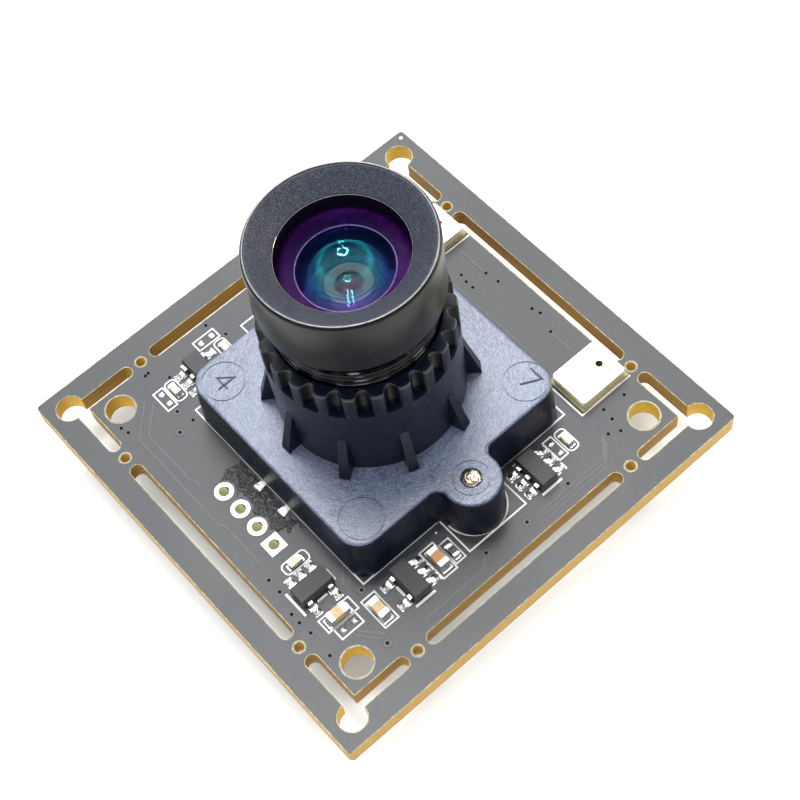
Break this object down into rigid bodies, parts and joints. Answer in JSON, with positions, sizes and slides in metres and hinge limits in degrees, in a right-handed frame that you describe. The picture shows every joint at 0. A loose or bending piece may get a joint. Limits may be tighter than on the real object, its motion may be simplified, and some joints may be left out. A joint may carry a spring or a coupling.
{
  "type": "board camera module",
  "caption": "Square camera circuit board with a break-off border, a screwed-on lens holder, a focusing screw-in lens, microphones and a small cable connector.",
  "frame": {"origin": "middle of the four mounting holes on the underside of the board", "axes": "+Z along the lens axis away from the board; +X towards the edge with the two microphones and the cable connector; +Y towards the other screw ear"},
  "size_m": [0.038, 0.038, 0.0275],
  "materials": {
    "board_laminate": "satin solder mask over glass-epoxy",
    "holder_plastic": "moulded, finely grained",
    "screw_steel": "plated",
    "lens_metal": "black anodised",
    "lens_glass": "coated and polished",
    "filter_glass": "coated and polished",
    "lens_spacer": "black matt",
    "aperture_metal": "matt",
    "silicon": "polished",
    "microphone_base": "matt",
    "microphone_metal": "satin plated",
    "chip_epoxy": "matt moulded",
    "tin_plate": "bright tin",
    "ceramic_cream": "matt",
    "ceramic_tan": "matt",
    "ceramic_brown": "matt",
    "resistor_body": "glassy coat",
    "ferrite": "matt",
    "crystal_ceramic": "matt",
    "crystal_metal": "satin",
    "connector_plastic": "moulded",
    "contact_metal": "bright plated"
  },
  "bodies": {
    "module": {"circuit_board": "board_laminate", "lens_holder": "holder_plastic", "holder_screws": "screw_steel", "image_sensor": "silicon", "sensor_glass": "filter_glass", "ir_filter": "filter_glass", "microphone_bases": "microphone_base", "microphone_cans": "microphone_metal", "regulator_chips": "chip_epoxy", "regulator_leads": "tin_plate", "cream_capacitors": "ceramic_cream", "tan_capacitors": "ceramic_tan", "brown_capacitor": "ceramic_brown", "capacitor_terminals": "tin_plate", "resistors": "resistor_body", "resistor_terminals": "tin_plate", "image_processor": "chip_epoxy", "memory_chip": "chip_epoxy", "memory_leads": "tin_plate", "crystal_base": "crystal_ceramic", "crystal_lid": "crystal_metal", "power_inductors": "ferrite", "inductor_terminals": "tin_plate", "connector_housing": "connector_plastic", "connector_contacts": "contact_metal", "connector_clips": "tin_plate"},
    "lens": {"lens_barrel": "lens_metal", "front_cap_ring": "lens_metal", "front_element": "lens_glass", "spacer_ring": "lens_spacer", "second_element": "lens_glass", "aperture_stop": "aperture_metal", "third_element": "lens_glass", "rear_spacer": "lens_spacer", "rear_element": "lens_glass", "rear_retaining_ring": "lens_spacer"}
  },
  "joints": [
    {"name": "focus_turn", "type": "hinge", "parent": "module", "child": "lens", "pos_m": [0, 0, 0.0161], "axis": [0, 0, 1], "range_deg": [-180, 180]}
  ]
}
